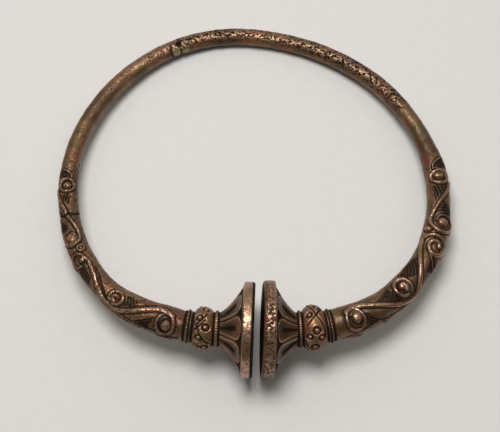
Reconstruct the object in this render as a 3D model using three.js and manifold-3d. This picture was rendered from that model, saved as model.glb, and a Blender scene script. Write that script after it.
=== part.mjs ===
// Buffer torc: a neck ring of solid cast bronze, open at the front between two facing discs.
// Millimetres, +Z up. It lies on the rims of both discs and on the back of the hoop, with the
// gap at the front (-Y). The origin is under the middle of its box, on the surface it lies on.

import * as THREE from 'three';
import { mergeVertices } from 'three/addons/utils/BufferGeometryUtils.js';
import Module from 'manifold-3d';

const degrees = THREE.MathUtils.degToRad;

// ---- the hoop: centreline of the ring in its own plane ----
const HOOP_RADIUS = 67.5;
const GAP = 2.9; // between the middles of the two disc faces
const GAP_OFFSET = 0.4; // both discs stand this much to the right of the middle
// The hoop is out of round: waves round its circumference, as shares of the radius.
const OUT_OF_ROUND = [
  { waves: 1, along: 0, across: 0.045 },
  { waves: 2, along: -0.054, across: 0.013 },
  { waves: 3, along: 0.027, across: 0.006 },
  { waves: 4, along: -0.012, across: 0.003 },
  { waves: 5, along: 0.004, across: 0 },
  { waves: 6, along: -0.003, across: 0.002 },
];
const BACK_ROD_RADIUS = 3.35;
const FLAT_DEPTH = 0.15; // worn flat where it touches the surface

// ---- the terminals, alike on both arms ----
const FACE_EDGE = 0.7; // rounding of the rim's corner at the face
const BACK_EDGE = 0.4; // and at the cone
const CONE_TOP_RADIUS = 15.9; // where the cone leaves the back of the disc
const PETALS = 8;
const PETAL_RELIEF = 0.5; // depth of the valleys between the petals
const COLLAR_RADIUS = 6.9;
const BEAD_RADIUS = 7.9;
const WAIST_RADIUS = 6.2; // between collar, bead and rod
const RING_RADIUS = 6.2; // the two thin rings behind the bead
const RING_WAIST_RADIUS = 5.6;

// ---- the scrolls: five spirals on top of each arm, mirrored underneath ----
const RIDGE_REACH = 1.3; // half the ridge's width at its foot
const BOSS_HEIGHT = 0.9;

// ---- the two arms; lengths run along the arm from its disc's face ----
// disc.leanOut, leanUp: turn of the disc off the arm's axis, opening the gap outwards, upwards
// coneFlare: 1 is a straight cone, more is a trumpet
// rod: [length, radius] knots of the plain rod under the scrolls
// spirals and lowPoint: at = length, up = way round the rod from its top line towards the inside
const ARMS = {
  left: {
    disc: { radius: 17.4, leanOut: degrees(1.5), leanUp: 0, inset: 0 },
    rim: 4.1,
    coneEnd: 12.1,
    coneFlare: 1.4,
    collarEnd: 14.4,
    beadEnd: 21.6,
    ringsEnd: 25.0,
    rod: [[25, 5.5], [35, 5.5], [50, 4.9], [65, 4.5], [80, 4.1], [95, 3.7], [110, 3.4], [125, 3.35]],
    scrollEnd: 110,
    ridgeHeight: 0.4,
    spirals: [
      { at: 31.6, up: -2.9, radius: 3.9, boss: 2.3 },
      { at: 51.6, up: -1.3, radius: 2.9, boss: 1.2 },
      { at: 71.9, up: -2.4, radius: 3.4, boss: 1.2 },
      { at: 81.2, up: -1.5, radius: 3.1, boss: 1.7 },
      { at: 103.6, up: 0.0, radius: 3.1, boss: 1.3 },
    ],
    lowPoint: { at: 52.5, up: -6.3 },
  },
  right: {
    disc: { radius: 17.6, leanOut: degrees(-0.4), leanUp: degrees(2), inset: 0.3 },
    rim: 4.5,
    coneEnd: 13.2,
    coneFlare: 1.3,
    collarEnd: 15.3,
    beadEnd: 23.5,
    ringsEnd: 26.4,
    rod: [[26, 5.7], [36, 5.7], [50, 5.1], [65, 4.6], [85, 4.6], [110, 4.1], [118, 3.7], [126, 3.35]],
    scrollEnd: 116,
    ridgeHeight: 0.6,
    spirals: [
      { at: 34.4, up: -2.0, radius: 3.8, boss: 2.3 },
      { at: 55.6, up: -0.6, radius: 3.0, boss: 1.5 },
      { at: 76.9, up: -1.9, radius: 4.2, boss: 1.2 },
      { at: 87.0, up: -1.6, radius: 3.7, boss: 1.7 },
      { at: 106.2, up: -0.3, radius: 3.2, boss: 1.4 },
    ],
    lowPoint: { at: 57.0, up: -8.0 },
  },
};
const REPAIR = { at: 183, halfLength: 4.5, swell: 0.2 }; // mended break, thicker, in the left arm

// ---- how finely it is faceted ----
const DISC_SIDES = 48; // sides of a section on disc and cone; half on the arm, a quarter at the back
const CONE_STEPS = 6;
const BEAD_STEPS = 7;
const SCROLL_STEP = 1.6;
const BACK_STEP = 5.5;
const WALK_STEPS = 20000; // of the walk round the centreline that measures its length

/** Point of the centreline, in the hoop's plane, at an angle counted from the back to the left. */
function hoopPoint(angle) {
  let radius = HOOP_RADIUS;
  for (const { waves, along, across } of OUT_OF_ROUND) {
    radius += HOOP_RADIUS * (along * Math.cos(waves * angle) + across * Math.sin(waves * angle));
  }
  return new THREE.Vector2(-radius * Math.sin(angle), radius * Math.cos(angle));
}

/** Walks from the left disc's face round to the right one's; points with their distance walked. */
function walkHoop() {
  const path = [];
  let distance = 0;
  for (let i = 0; i <= WALK_STEPS; i++) {
    const point = hoopPoint(Math.PI * (1 - (2 * i) / WALK_STEPS));
    const inGap = Math.abs(point.x) < GAP / 2 && point.y < 0;
    if (inGap) continue;
    if (path.length) distance += point.distanceTo(path[path.length - 1].point);
    path.push({ point, distance });
  }
  return path;
}

/** Value at a distance between the knots of a list of [distance, value]. */
function between(knots, distance) {
  if (distance <= knots[0][0]) return knots[0][1];
  for (let i = 1; i < knots.length; i++) {
    const [from, a] = knots[i - 1];
    const [to, b] = knots[i];
    if (distance <= to) return THREE.MathUtils.lerp(a, b, (distance - from) / (to - from));
  }
  return knots[knots.length - 1][1];
}

/** The turned terminal: { at, radius } of every section from the disc's face to the rod. */
function terminalProfile(arm) {
  const profile = [
    { at: 0, radius: arm.disc.radius - FACE_EDGE },
    { at: 0.3 * FACE_EDGE, radius: arm.disc.radius - 0.3 * FACE_EDGE },
    { at: FACE_EDGE, radius: arm.disc.radius },
    { at: arm.rim - BACK_EDGE, radius: arm.disc.radius },
    { at: arm.rim, radius: arm.disc.radius - BACK_EDGE },
  ];
  const coneStart = arm.rim + 0.3;
  for (let i = 0; i <= CONE_STEPS; i++) {
    const t = i / CONE_STEPS;
    const radius = WAIST_RADIUS + (CONE_TOP_RADIUS - WAIST_RADIUS) * (1 - t) ** arm.coneFlare;
    const valley = PETAL_RELIEF * Math.sin(Math.PI * t);
    profile.push({ at: coneStart + t * (arm.coneEnd - coneStart), radius, valley });
  }
  profile.push({ at: arm.coneEnd + 0.4, radius: COLLAR_RADIUS });
  profile.push({ at: arm.collarEnd - 0.5, radius: COLLAR_RADIUS });
  for (let i = 0; i <= BEAD_STEPS; i++) {
    const t = (2 * i) / BEAD_STEPS - 1;
    const middle = (arm.collarEnd + arm.beadEnd) / 2;
    const half = (arm.beadEnd - arm.collarEnd) / 2 - 0.1;
    const radius = WAIST_RADIUS + (BEAD_RADIUS - WAIST_RADIUS) * Math.sqrt(1 - t * t);
    profile.push({ at: middle + t * half, radius });
  }
  const ring = (arm.ringsEnd - arm.beadEnd) / 4;
  profile.push({ at: arm.beadEnd + ring, radius: RING_RADIUS });
  profile.push({ at: arm.beadEnd + 2 * ring, radius: RING_WAIST_RADIUS });
  profile.push({ at: arm.beadEnd + 3 * ring, radius: RING_RADIUS - 0.1 });
  profile.push({ at: arm.ringsEnd, radius: arm.rod[0][1] });
  return profile;
}

/** Point on a spiral's ring, at an angle from the way along the arm. */
function onRing(spiral, angle, scale = 1) {
  const reach = spiral.radius * scale;
  return new THREE.Vector2(
    spiral.at + reach * Math.cos(angle),
    spiral.up + reach * Math.sin(angle),
  );
}

/** A spiral's coil from its outer end inwards; sweep is positive anticlockwise. */
function coil(spiral, start, sweep, innerScale) {
  const points = [];
  const count = Math.ceil(Math.abs(sweep) / degrees(15));
  for (let i = 0; i <= count; i++) {
    const share = i / count;
    points.push(onRing(spiral, start + sweep * share, 1 + (innerScale - 1) * share));
  }
  return points;
}

/** A run of tendril: a cubic curve from a to b, leaving along u and arriving along v. */
function tendril(a, u, b, v) {
  const leaving = new THREE.Vector2(...u).add(a);
  const arriving = b.clone().sub(new THREE.Vector2(...v));
  return new THREE.CubicBezierCurve(a, leaving, arriving, b).getPoints(24);
}

/** Centrelines of all ridges of one arm's scroll, as points (at, up). */
function scrollRidges(arm) {
  const [first, second, third, fourth, fifth] = arm.spirals;
  const low = new THREE.Vector2(arm.lowPoint.at, arm.lowPoint.up);
  const branch = low.clone().add(new THREE.Vector2(-6, 2.2));
  return [
    coil(first, degrees(95), degrees(330), 0.85),
    tendril(onRing(first, degrees(95)), [14, 0.6], low, [4, 0]),
    tendril(low, [3.5, 0], onRing(third, degrees(95), 1.35), [5, 1]),
    coil(third, degrees(60), degrees(-480), 0.25),
    tendril(branch, [4, -1.5], onRing(second, degrees(-40)), [1, 3]),
    coil(second, degrees(-40), degrees(330), 0.8),
    tendril(onRing(fifth, degrees(-75), 1.2), [-4, -1], onRing(fourth, degrees(80), 1.1), [-7, 0.4]),
    coil(fourth, degrees(80), degrees(330), 0.85),
    coil(fifth, degrees(-75), degrees(360), 0.95),
  ];
}

/** Height of the scroll relief above the rod, at a length along the arm and an angle round it. */
function scrollRelief(arm, ridges, at, angle, rodRadius) {
  const up = rodRadius * (Math.abs(angle) - Math.PI / 2);
  const here = new THREE.Vector2(at, up);
  let height = 0;
  for (const ridge of ridges) {
    for (const point of ridge) {
      const reach = here.distanceTo(point) / RIDGE_REACH;
      if (reach < 1) height = Math.max(height, arm.ridgeHeight * (1 - reach * reach));
    }
  }
  for (const spiral of arm.spirals) {
    const reach = Math.hypot(at - spiral.at, up - spiral.up) / (spiral.boss + 0.5);
    if (reach < 1) height = Math.max(height, BOSS_HEIGHT * (1 - reach * reach));
  }
  return height;
}

/** All sections of one arm, from the disc's face to the middle of the back. */
function armSections(arm, length) {
  const sections = [];
  for (const { at, radius, valley = 0 } of terminalProfile(arm)) {
    const sides = at < arm.coneEnd - 0.1 ? DISC_SIDES : DISC_SIDES / 2;
    const radiusAt = (angle) => radius - valley * Math.cos((PETALS * angle) / 2) ** 4;
    sections.push({ at, sides, radiusAt });
  }
  const ridges = scrollRidges(arm);
  const scrollSteps = Math.round((arm.scrollEnd - arm.ringsEnd) / SCROLL_STEP);
  for (let i = 1; i <= scrollSteps; i++) {
    const at = arm.ringsEnd + (i / scrollSteps) * (arm.scrollEnd - arm.ringsEnd);
    const radius = between(arm.rod, at);
    const radiusAt = (angle) => radius + scrollRelief(arm, ridges, at, angle, radius);
    sections.push({ at, sides: DISC_SIDES / 2, radiusAt });
  }
  const backSteps = Math.round((length - arm.scrollEnd) / BACK_STEP);
  for (let i = 1; i <= backSteps; i++) {
    const at = arm.scrollEnd + (i / backSteps) * (length - arm.scrollEnd);
    const mended = arm === ARMS.left && Math.abs(at - REPAIR.at) < REPAIR.halfLength;
    const radius = between(arm.rod, at) + (mended ? REPAIR.swell : 0);
    sections.push({ at, sides: DISC_SIDES / 4, radiusAt: () => radius });
  }
  return sections;
}

/** Joins two rings of corners, of which one may have twice the other's sides. */
function joinRings(indices, a, b) {
  const fine = a.count >= b.count ? a : b;
  const coarse = a.count >= b.count ? b : a;
  const ratio = fine.count / coarse.count;
  const add = (i, j, k) => indices.push(...(fine === b ? [i, k, j] : [i, j, k]));
  for (let i = 0; i < coarse.count; i++) {
    const c0 = coarse.first + i;
    const c1 = coarse.first + ((i + 1) % coarse.count);
    for (let j = 0; j < ratio; j++) {
      const f0 = fine.first + i * ratio + j;
      const f1 = fine.first + ((i * ratio + j + 1) % fine.count);
      add(f0, f1, j < ratio / 2 ? c0 : c1);
      if (j === Math.floor((ratio - 1) / 2)) add(f1, c1, c0);
    }
  }
}

/** Closes an end ring with a fan from its middle. */
function capRing(vertices, indices, ring, reversed) {
  const middle = new THREE.Vector3();
  for (let i = 0; i < ring.count; i++) {
    middle.add(new THREE.Vector3().fromArray(vertices, 3 * (ring.first + i)));
  }
  middle.divideScalar(ring.count);
  const centre = vertices.length / 3;
  vertices.push(middle.x, middle.y, middle.z);
  for (let i = 0; i < ring.count; i++) {
    const a = ring.first + i;
    const b = ring.first + ((i + 1) % ring.count);
    indices.push(centre, ...(reversed ? [a, b] : [b, a]));
  }
}

/** Adds one section's ring of corners, square to the path but for the lean of its disc. */
function addRing(vertices, station, before, after) {
  const { arm, sides, radiusAt } = station;
  const share = (station.distance - before.distance) / (after.distance - before.distance);
  const centre = before.point.clone().lerp(after.point, share);
  const tangent = after.point.clone().sub(before.point).normalize();
  const outward = new THREE.Vector2(-tangent.y, tangent.x);
  const intoArm = arm === ARMS.left ? 1 : -1;
  const discShare = THREE.MathUtils.clamp((arm.coneEnd - station.at) / (arm.coneEnd - arm.rim), 0, 1);
  const ring = { first: vertices.length / 3, count: sides };
  for (let i = 0; i < sides; i++) {
    const angle = -Math.PI + (2 * Math.PI * i) / sides;
    const out = radiusAt(angle) * Math.cos(angle);
    const up = radiusAt(angle) * Math.sin(angle);
    const lean = out * Math.tan(arm.disc.leanOut) + up * Math.tan(arm.disc.leanUp);
    const along = (intoArm * lean - GAP_OFFSET) * discShare;
    const across = out - arm.disc.inset * discShare;
    const x = centre.x + across * outward.x + along * tangent.x;
    const y = centre.y + across * outward.y + along * tangent.y;
    vertices.push(x, y, up);
  }
  return ring;
}

/** Sweeps the sections of both arms round the hoop into one closed solid, in the hoop's plane. */
function sweepTorc() {
  const path = walkHoop();
  const total = path[path.length - 1].distance;
  const back = path.reduce((a, b) => (b.point.y > a.point.y ? b : a));

  const stations = [];
  for (const section of armSections(ARMS.left, back.distance)) {
    stations.push({ ...section, arm: ARMS.left, distance: section.at });
  }
  const returning = armSections(ARMS.right, total - back.distance).reverse().slice(1);
  for (const section of returning) {
    stations.push({ ...section, arm: ARMS.right, distance: total - section.at });
  }

  const vertices = [];
  const indices = [];
  const rings = [];
  let step = 1;
  for (const station of stations) {
    while (step < path.length - 1 && path[step].distance < station.distance) step++;
    rings.push(addRing(vertices, station, path[step - 1], path[step]));
  }
  for (let i = 1; i < rings.length; i++) joinRings(indices, rings[i - 1], rings[i]);
  capRing(vertices, indices, rings[0], false);
  capRing(vertices, indices, rings[rings.length - 1], true);
  return { vertices, indices, back: back.point.y, front: path[0].point.y };
}

const wasm = await Module();
wasm.setup();

function toManifold(geometry) {
  const mesh = new wasm.Mesh({
    numProp: 3,
    vertProperties: Float32Array.from(geometry.attributes.position.array),
    triVerts: Uint32Array.from(geometry.index.array),
  });
  return new wasm.Manifold(mesh);
}

function fromManifold(solid) {
  const mesh = solid.getMesh();
  const geometry = new THREE.BufferGeometry();
  geometry.setAttribute('position', new THREE.BufferAttribute(mesh.vertProperties, 3));
  geometry.setIndex(new THREE.BufferAttribute(mesh.triVerts, 1));
  geometry.computeVertexNormals();
  return geometry;
}

/** The torc lying down: tipped until discs and back touch the surface, and worn flat there. */
function makeTorc() {
  const swept = sweepTorc();
  const geometry = new THREE.BufferGeometry();
  geometry.setAttribute('position', new THREE.Float32BufferAttribute(swept.vertices, 3));
  geometry.setIndex(swept.indices);
  const tip = Math.asin((ARMS.left.disc.radius - BACK_ROD_RADIUS) / (swept.back - swept.front));
  geometry.rotateX(-tip);
  const backMiddle = -swept.back * Math.sin(tip);
  geometry.translate(0, 0, BACK_ROD_RADIUS - FLAT_DEPTH - backMiddle);

  geometry.computeBoundingBox();
  const { min, max } = geometry.boundingBox;
  geometry.translate(-(min.x + max.x) / 2, -(min.y + max.y) / 2, 0);
  const size = 2 * Math.max(max.x - min.x, max.y - min.y);
  const below = new THREE.BoxGeometry(size, size, size).translate(0, 0, -size / 2);
  below.deleteAttribute('normal');
  below.deleteAttribute('uv');
  return fromManifold(toManifold(geometry).subtract(toManifold(mergeVertices(below))));
}

const bronze = new THREE.MeshStandardMaterial({ color: 0x6f5442, roughness: 0.42, metalness: 1.0 });

const torc = new THREE.Mesh(makeTorc(), bronze);
torc.name = 'torc';

const object = new THREE.Group();
object.add(torc);

export default object;
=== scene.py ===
import math

import bpy
import numpy as np
from mathutils import Matrix, Vector


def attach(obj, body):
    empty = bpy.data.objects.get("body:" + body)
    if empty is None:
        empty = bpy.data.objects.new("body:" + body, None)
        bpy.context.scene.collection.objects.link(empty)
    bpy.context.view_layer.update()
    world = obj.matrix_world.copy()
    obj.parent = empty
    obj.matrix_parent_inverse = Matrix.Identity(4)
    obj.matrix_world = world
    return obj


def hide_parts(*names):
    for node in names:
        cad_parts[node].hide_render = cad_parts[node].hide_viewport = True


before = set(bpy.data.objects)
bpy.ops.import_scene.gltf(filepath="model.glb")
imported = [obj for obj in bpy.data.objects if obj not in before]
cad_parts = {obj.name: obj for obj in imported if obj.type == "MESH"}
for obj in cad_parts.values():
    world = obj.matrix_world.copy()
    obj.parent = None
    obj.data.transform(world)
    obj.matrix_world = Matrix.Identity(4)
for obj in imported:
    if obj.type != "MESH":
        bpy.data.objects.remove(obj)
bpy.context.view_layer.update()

bl_info = {
    "name": "Bronze buffer torc",
    "version": (1, 0, 0),
    "blender": (4, 5, 0),
    "location": "View3D > Sidebar > Torc",
    "description": "An old cast bronze neck ring with disc terminals and raised scrolls, "
                   "lying on a pale table",
    "category": "Add Mesh",
}

MM = 0.001


def linear(colour):
    """Turns an sRGB hex colour such as #6B4F3A into linear red, green and blue."""
    parts = [int(colour[i : i + 2], 16) / 255 for i in (1, 3, 5)]
    return tuple(c / 12.92 if c <= 0.04045 else ((c + 0.055) / 1.055) ** 2.4 for c in parts)


# ---------------------------------------------------------------- sizes and colours to change


def millimetres(name, description, default, low):
    """A length in millimetres that a user can change."""
    return bpy.props.FloatProperty(name=name, description=description + ", mm", default=default, min=low)


def colour(name, description, default):
    """A colour that a user can change, its default given as sRGB hex."""
    return bpy.props.FloatVectorProperty(
        name=name, description=description, subtype="COLOR", size=3, default=linear(default), min=0, max=1)


class TorcSizes(bpy.types.PropertyGroup):
    """Sizes of the torc, in millimetres."""

    hoop_radius: millimetres("Hoop radius", "Mean radius of the hoop's centreline", 67.5, 1)
    gap: millimetres("Gap", "Between the middles of the two disc faces", 2.9, 0)
    back_rod: millimetres("Back rod radius", "Radius of the plain rod at the back", 3.35, 0.1)
    waist: millimetres("Waist radius", "Radius between cone, collar and bead", 6.2, 0.1)
    collar: millimetres("Collar radius", "Radius of the milled collar behind the cone", 6.9, 0.1)
    cone_top: millimetres("Cone top radius", "Radius where the cone leaves the disc", 15.9, 0.1)
    petals: bpy.props.IntProperty(name="Petals", description="Petals carved round each cone", default=8,
                                  min=3)
    petal_depth: millimetres("Petal depth", "Depth of the cuts between and inside the petals", 0.6, 0)
    hatch_pitch: millimetres("Hatch pitch", "From one hatching line to the next in the sunk fields", 1.05,
                             0.1)
    unevenness: millimetres("Unevenness", "How far the worn casting swells and sinks", 0.09, 0)


class BronzeColours(bpy.types.PropertyGroup):
    """Colours of the bronze and its patina."""

    brown: colour("Brown", "Patina on the plain surface", "#846140")
    umber: colour("Umber", "Darker, duller clouds in the patina", "#543D29")
    red: colour("Red", "Reddish copper oxide showing in patches", "#754532")
    olive: colour("Olive", "Greenish brown tarnish in patches", "#4C4329")
    # dark also paints the shade on the disc faces and along a band of the rims
    dark: colour("Dark", "Grime and old oxide in the hollows", "#0F0B08")
    # copper also paints the floor's reflection on the rims' lower part and a highlight along the back rod's
    # top
    copper: colour("Copper", "Metal rubbed bare on ridges and edges", "#CFA68C")
    solder: colour("Solder", "Yellowish metal of the old mend", "#9C8C62")


class StageSettings(bpy.types.PropertyGroup):
    """The table, the lights and the camera."""

    floor_colour: colour("Floor colour", "Pale paper under the torc", "#DAD6D2")
    room: bpy.props.FloatProperty(
        name="Room", description="Strength of the dim light from all round", default=0.62, min=0)
    softbox: bpy.props.FloatProperty(
        name="Softbox", description="Power of the softbox overhead, watts", default=9.4, min=0,
        unit="POWER")
    distance: bpy.props.FloatProperty(
        name="Camera distance", description="From the camera to the torc", default=0.61, min=0.1,
        unit="LENGTH")
    elevation: bpy.props.FloatProperty(
        name="Camera elevation", description="Above the table", default=math.radians(70), subtype="ANGLE")
    roll: bpy.props.FloatProperty(
        name="Camera roll", description="Turn of the camera about its own axis",
        default=math.radians(1.5), subtype="ANGLE")
    lens: bpy.props.FloatProperty(
        name="Lens", description="Focal length on a 36 mm sensor, mm", default=115.4, min=10)


# ---------------------------------------------------------------- the hoop and its two arms

# The hoop is out of round: (waves round it, share of the radius along, share across).
OUT_OF_ROUND = (
    (1, 0.0, 0.045), (2, -0.054, 0.013), (3, 0.027, 0.006),
    (4, -0.012, 0.003), (5, 0.004, 0.0), (6, -0.003, 0.002),
)
GAP_OFFSET = 0.4  # both discs stand this much to the right of the hoop's middle
TIP = 0.11155  # the hoop leans on its discs by this angle, radians
FLAT = 0.15  # worn flat where it touches the table
HOOP_MIDDLE = (-2.134, -4.734)  # the hoop's own origin, seen from the middle of the object's box
FACE_EDGE = 0.9  # rounding of the rim's corner at the face, mm
BACK_EDGE = 0.4  # and at the cone
FACE_RINGS = 14  # rings of corners across a disc's face
SCROLL_STEP = 0.38  # from ring to ring of corners along the scrolls, mm
BACK_STEP = 1.0  # and along the plain rod
# The mend in the left arm: lengths along it of its parts, mm.
MEND_RINGS = (176, 190, 41)  # finer rings, from, to and how many
MEND_CRACK, MEND_PIT, MEND_SEAM = 180.2, 183.8, 184.1
# Its two smears: (length along, degrees round, half their length in mm, half their width in degrees).
MEND_SMEARS = ((182.2, 146, 1.9, 34), (186.1, 150, 1.8, 30))
# The right arm's eaten stretch: it swells over the first two lengths and fades over the last two.
PITTED = (134, 146, 182, 198)


class Arm:
    """Sizes of one arm, mm. Lengths run along the arm from its disc's face; "up" is the way round
    the rod from its top line towards the inside of the hoop."""

    def __init__(self, **sizes):
        self.__dict__.update(sizes)


LEFT = Arm(
    side=-1, disc=17.5, lean_out=1.5, lean_up=0.0, inset=0.0, rim=4.1, cone=12.1, flare=1.4, shaded_edge=1.0,
    collar=14.4, bead=21.6, rings=25.0, petal_turn=70.0,
    rod=((25, 5.3), (35, 5.3), (50, 4.8), (65, 4.4), (80, 4.1), (95, 3.75), (110, 3.45), (125, 3.35)),
    scroll=114.0, ridge=0.45, worn=0.55, bead_radius=7.9,
    # (length, how much fuller towards the inside of the hoop, how much towards the outside)
    fuller=((0, 0.05, 0.15), (4, 0.05, 0.15), (6, 0.3, 0), (11, 0.25, 0), (14, 0, 0), (22, 0, 0),
            (25, 0.2, 0), (28, 0.8, 0), (32, 0.95, 0), (38, 0.75, 0), (46, 0.6, 0), (51, 0.25, 0),
            (57, -0.3, -0.2), (64, -0.3, -0.1), (72, -0.1, 0.15), (79, 0, 0.35), (87, 0.1, 0.2),
            (92, 0.2, -0.35), (98, 0.3, -0.2), (104, 0.45, 0.1), (108, 0.4, 0.1), (113, 0.2, -0.15),
            (122, 0, -0.15), (165, 0, -0.15), (180, 0, -0.3), (200, 0, 0)),
)
RIGHT = Arm(
    side=1, disc=17.6, lean_out=-0.4, lean_up=2.0, inset=0.3, rim=4.5, cone=13.2, flare=1.3,
    shaded_edge=0.25, collar=15.3, bead=23.5, rings=26.4, petal_turn=66.0,
    rod=((26, 5.6), (36, 5.6), (50, 5.1), (65, 4.6), (85, 4.6), (110, 4.1), (118, 3.7), (126, 3.35)),
    scroll=119.0, ridge=0.6, worn=0.1, bead_radius=8.3,
    fuller=((0, 0.2, 0), (4, 0.2, 0), (6, 0.3, 0), (13, 0.2, 0), (16, 0.5, 0.1), (19, 0.6, 0.1),
            (23, 0.2, 0), (27, 0.4, 0), (30, 0.6, 0), (36, 0.5, 0.25), (42, 0.35, 0.3), (48, 0.2, 0.1),
            (53, 0.4, 0), (58, 0.55, 0.3), (64, 0.55, 0.45), (70, 0.25, 0.4), (76, 0.15, 0.5),
            (80, 0.4, 0.3), (86, 0.35, 0.45), (90, 0.3, 0.2), (94, 0.3, -0.1), (100, 0.4, -0.1),
            (106, 0.45, 0.1), (111, 0.45, 0.35), (115, 0.35, 0.25), (120, 0.2, 0), (130, 0.1, 0.05),
            (147, 0.05, 0.12), (160, 0.05, 0), (175, 0, -0.1), (200, -0.05, -0.15)),
)


class Hoop:
    """The centreline, walked from the left disc's face round to the right one's.

    It is a circle whose radius is rippled by a few waves, so a point at an angle counted from the
    back stands at minus radius times sine, radius times cosine."""

    def __init__(self, sizes):
        angle = np.linspace(np.pi, -np.pi, 20001)
        waves = sum(a * np.cos(n * angle) + b * np.sin(n * angle) for n, a, b in OUT_OF_ROUND)
        radius = sizes.hoop_radius * (1 + waves)
        x, y = -radius * np.sin(angle), radius * np.cos(angle)
        keep = ~((np.abs(x) < sizes.gap / 2) & (y < 0))
        self.x, self.y = x[keep], y[keep]
        step = np.hypot(np.diff(self.x), np.diff(self.y))
        self.walked = np.concatenate([[0], np.cumsum(step)])
        self.total = self.walked[-1]
        self.back_at = self.walked[self.y.argmax()]
        self.back = self.y.max()
        along = np.hypot(np.gradient(self.x), np.gradient(self.y))
        self.tx, self.ty = np.gradient(self.x) / along, np.gradient(self.y) / along

    def length(self, arm):
        """From the arm's face to the back of the hoop, mm."""
        return self.back_at if arm.side < 0 else self.total - self.back_at

    def rings(self, arm, at, radius, angle):
        """Corners of rings square to the centreline, made fuller on either side by the arm's knots. A
        disc leans: each point moves along the arm by its distance out times the tangent of the lean,
        fading down the cone."""
        walked = at if arm.side < 0 else self.total - at
        x, y, tx, ty = (
            np.interp(walked, self.walked, a)[:, None] for a in (self.x, self.y, self.tx, self.ty))
        share = np.clip((arm.cone - at) / (arm.cone - arm.rim), 0, 1)[:, None]
        knots = np.array(arm.fuller)
        inner, outer = (np.interp(at, knots[:, 0], knots[:, i])[:, None] for i in (1, 2))
        fade = np.clip(radius / 5, 0, 1)
        radius = radius + fade * (inner * (1 - np.cos(angle)) / 2 + outer * (1 + np.cos(angle)) / 2)
        out, up = radius * np.cos(angle), radius * np.sin(angle)
        lean = out * math.tan(math.radians(arm.lean_out)) + up * math.tan(math.radians(arm.lean_up))
        along = (-arm.side * lean - GAP_OFFSET) * share
        across = out - arm.inset * share
        return np.stack([x - across * ty + along * tx, y + across * tx + along * ty, up], axis=-1)

    def lie_down(self, points, sizes):
        """Tips the hoop's plane until discs and back touch the table, and centres it."""
        x, y, n = points[..., 0], points[..., 1], points[..., 2]
        c, s = math.cos(TIP), math.sin(TIP)
        z = n * c - y * s + self.back * s + sizes.back_rod - FLAT
        return np.stack([x - HOOP_MIDDLE[0], y * c + n * s - HOOP_MIDDLE[1], np.maximum(z, 0)], axis=-1)


# ---------------------------------------------------------------- drawing relief


def smoothstep(low, high, value):
    """0 below low, 1 above high, and three squares less two cubes of the share between."""
    t = np.clip((value - low) / (high - low), 0, 1)
    return t * t * (3 - 2 * t)


def bell(away, width, power=2):
    """1 at no distance, falling as e to the minus power of distance over width; 4 gives a flatter top."""
    return np.exp(-((away / width) ** power))


def smooth_line(points, per_span=10):
    """A line through all the points: on each span the cubic whose slopes at its ends are half the
    way from the point before to the point after (Catmull-Rom)."""
    p = np.asarray(points, float)
    p = np.concatenate([[2 * p[0] - p[1]], p, [2 * p[-1] - p[-2]]])
    t = np.linspace(0, 1, per_span, endpoint=False)[:, None, None]
    a, b, c, d = p[:-3], p[1:-2], p[2:-1], p[3:]
    span = 0.5 * (2 * b + (c - a) * t + (2 * a - 5 * b + 4 * c - d) * t**2 + (3 * b - a - 3 * c + d) * t**3)
    line = np.swapaxes(span, 0, 1).reshape(-1, p.shape[1])
    return np.concatenate([line, p[-2:-1]])


def coil(centre, radii, start, sweep, inner=1.0, count=48):
    """A spiral line: an ellipse's radii shrink evenly from full size to the inner share of it
    while the angle, in degrees, sweeps round."""
    share = np.linspace(0, 1, count)
    angle = np.radians(start + sweep * share)
    size = 1 + (inner - 1) * share
    return np.stack([centre[0] + radii[0] * size * np.cos(angle),
                     centre[1] + radii[1] * size * np.sin(angle)], 1)


def from_line(at, up, line):
    """Distance of every grid point from a line, and how far along it, 0 to 1, its nearest point is."""
    nearest = np.full(at.shape, 1e9)
    share = np.zeros(at.shape)
    last = len(line) - 2
    for i, ((ax, ay), (bx, by)) in enumerate(zip(line[:-1], line[1:])):
        dx, dy = bx - ax, by - ay
        t = np.clip(((at - ax) * dx + (up - ay) * dy) / (dx * dx + dy * dy + 1e-12), 0, 1)
        away = np.hypot(at - ax - t * dx, up - ay - t * dy)
        closer = away < nearest
        nearest = np.where(closer, away, nearest)
        share = np.where(closer, (i + t) / (last + 1), share)
    return nearest, share


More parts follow.
